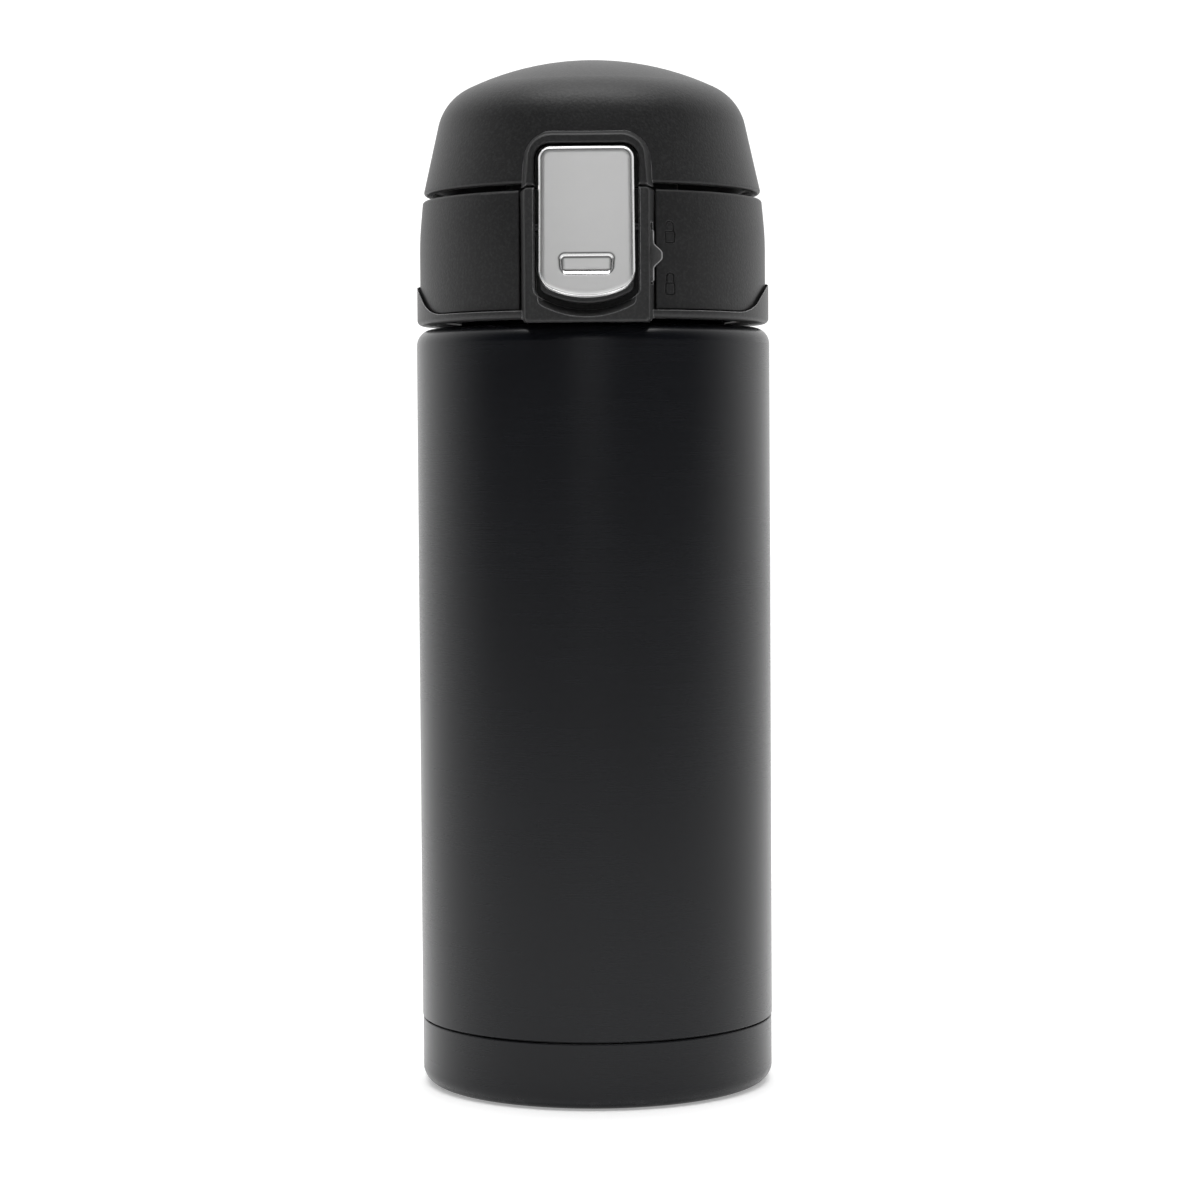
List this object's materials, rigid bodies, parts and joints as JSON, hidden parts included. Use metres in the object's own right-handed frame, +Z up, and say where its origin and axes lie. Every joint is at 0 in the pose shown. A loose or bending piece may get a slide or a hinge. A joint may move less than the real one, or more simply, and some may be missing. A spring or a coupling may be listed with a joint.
{
  "type": "vacuum flask",
  "caption": "Slim black vacuum flask with a screw-on one-touch lid: a hinged domed cap, a press button with a silver face, a side lock slider and a drinking spout.",
  "frame": {"origin": "on the table under the middle of the base", "axes": "+Z up along the flask's axis; -Y towards the front, where the button is; +X to the right, seen from the front"},
  "size_m": [0.066, 0.07, 0.1909],
  "materials": {
    "matte_black_paint": "matte powder coat with a very faint horizontal grain",
    "steel": "bare stainless steel",
    "copper_foil": "thin copper foil",
    "solder": "glassy sealing bead",
    "getter": "pressed powder pill",
    "black_plastic": "fine textured black plastic",
    "inner_plastic": "smooth black plastic",
    "spout_plastic": "smooth dark grey plastic",
    "silicone": "grey silicone",
    "spring_steel": "bright spring wire",
    "silver_plate": "satin silver with a polished bevel"
  },
  "bodies": {
    "bottle": {"outer_shell": "matte_black_paint", "liner": "steel", "liner_bottom": "steel", "shell_bottom": "steel", "vacuum_seal": "solder", "getter": "getter", "foil_wrap": "copper_foil", "base_cup": "matte_black_paint"},
    "mouth_seal": {"neck_seal": "silicone"},
    "lid_base": {"collar": "black_plastic", "left_panel": "black_plastic", "right_panel": "black_plastic", "inner_collar": "inner_plastic", "spout": "spout_plastic", "hinge_pin": "spring_steel", "cap_spring": "spring_steel", "button_pin": "spring_steel", "button_spring": "spring_steel"},
    "cap": {"cap_cover": "black_plastic", "cap_liner": "inner_plastic", "stopper_seal": "silicone"},
    "button": {"button_plate": "silver_plate", "button_body": "black_plastic"},
    "lock": {"lock_slider": "black_plastic"}
  },
  "joints": [
    {"name": "lid_lift", "type": "slide", "parent": "bottle", "child": "mouth_seal", "axis": [0, 0, 1], "range_m": [0, 0.0081]},
    {"name": "lid_turn", "type": "hinge", "parent": "mouth_seal", "child": "lid_base", "pos_m": [0, 0, 0.155], "axis": [0, 0, 1], "range_deg": [0, 720]},
    {"name": "cap_open", "type": "hinge", "parent": "lid_base", "child": "cap", "pos_m": [0, 0.032, 0.1628], "axis": [-1, 0, 0], "range_deg": [0, 110], "deforming": ["cap_spring"]},
    {"name": "button_press", "type": "hinge", "parent": "lid_base", "child": "button", "pos_m": [0, -0.0315, 0.158], "axis": [1, 0, 0], "range_deg": [0, 6], "stiffness_Nm_per_rad": 0.5, "springref_deg": -1.72, "deforming": ["button_spring"]},
    {"name": "lock_slide", "type": "slide", "parent": "lid_base", "child": "lock", "axis": [0, 0, 1], "range_m": [0, 0.0014]}
  ],
  "couplings": [
    {"joint": "lid_lift", "follows": "lid_turn", "m_per_rad": 0.00063662}
  ]
}
